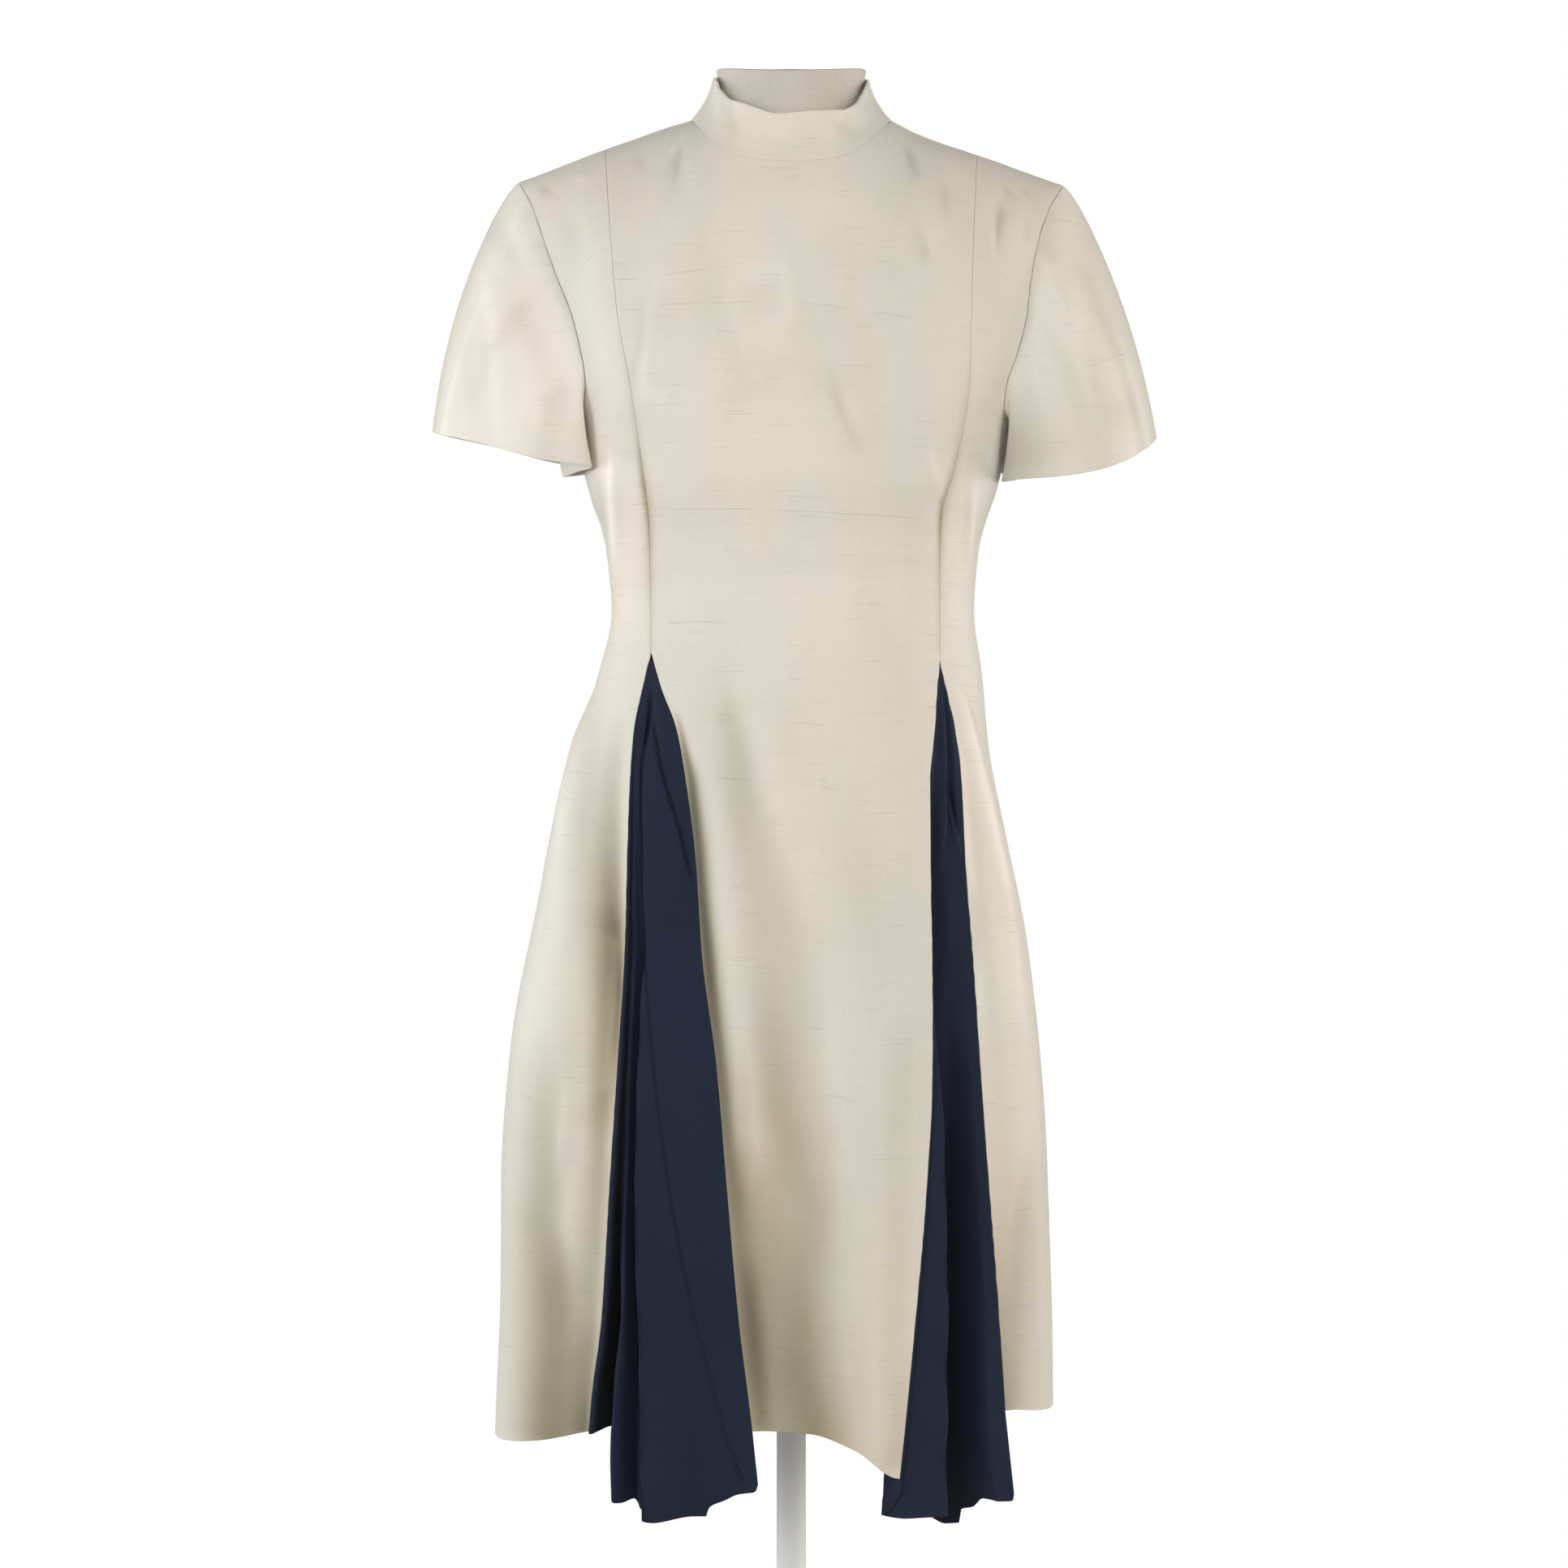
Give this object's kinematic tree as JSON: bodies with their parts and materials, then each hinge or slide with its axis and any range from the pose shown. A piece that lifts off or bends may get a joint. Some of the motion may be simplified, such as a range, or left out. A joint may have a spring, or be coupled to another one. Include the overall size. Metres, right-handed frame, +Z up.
{
  "type": "a-line dress on a dress form",
  "caption": "Knee-length a-line dress with a stand collar, short sleeves and dark godets at the front, on a limbless dress form with a pole and a round base.",
  "frame": {"origin": "middle of the underside of the stand's base, on the floor", "axes": "+Z up, the dress's front faces -Y, +X is the right-hand side of a person who looks at the front"},
  "size_m": [0.549, 0.34, 1.4634],
  "materials": {
    "ivory_silk": "slub silk with a soft sheen",
    "navy_crepe": "matte crepe",
    "form_cover": "matte woven cover",
    "zip_tape": "matte woven tape",
    "zip_metal": "satin nickel",
    "stand_paint": "satin off-white paint"
  },
  "bodies": {
    "dress": {"front_center": "ivory_silk", "side_front_left": "ivory_silk", "side_front_right": "ivory_silk", "back_left": "ivory_silk", "back_right": "ivory_silk", "collar": "ivory_silk", "sleeve_left": "ivory_silk", "sleeve_right": "ivory_silk", "godet_left": "navy_crepe", "godet_right": "navy_crepe", "zip_tape": "zip_tape", "zip_slider": "zip_metal", "form_torso": "form_cover", "stand_pole": "stand_paint", "stand_base": "stand_paint"},
    "zip_pull": {"zip_pull": "zip_metal"}
  },
  "joints": [
    {"name": "zip_pull_hinge", "type": "hinge", "parent": "dress", "child": "zip_pull", "pos_m": [0, 0.08367, 1.41281], "axis": [1, 0, 0], "range_deg": [0, 130]}
  ]
}
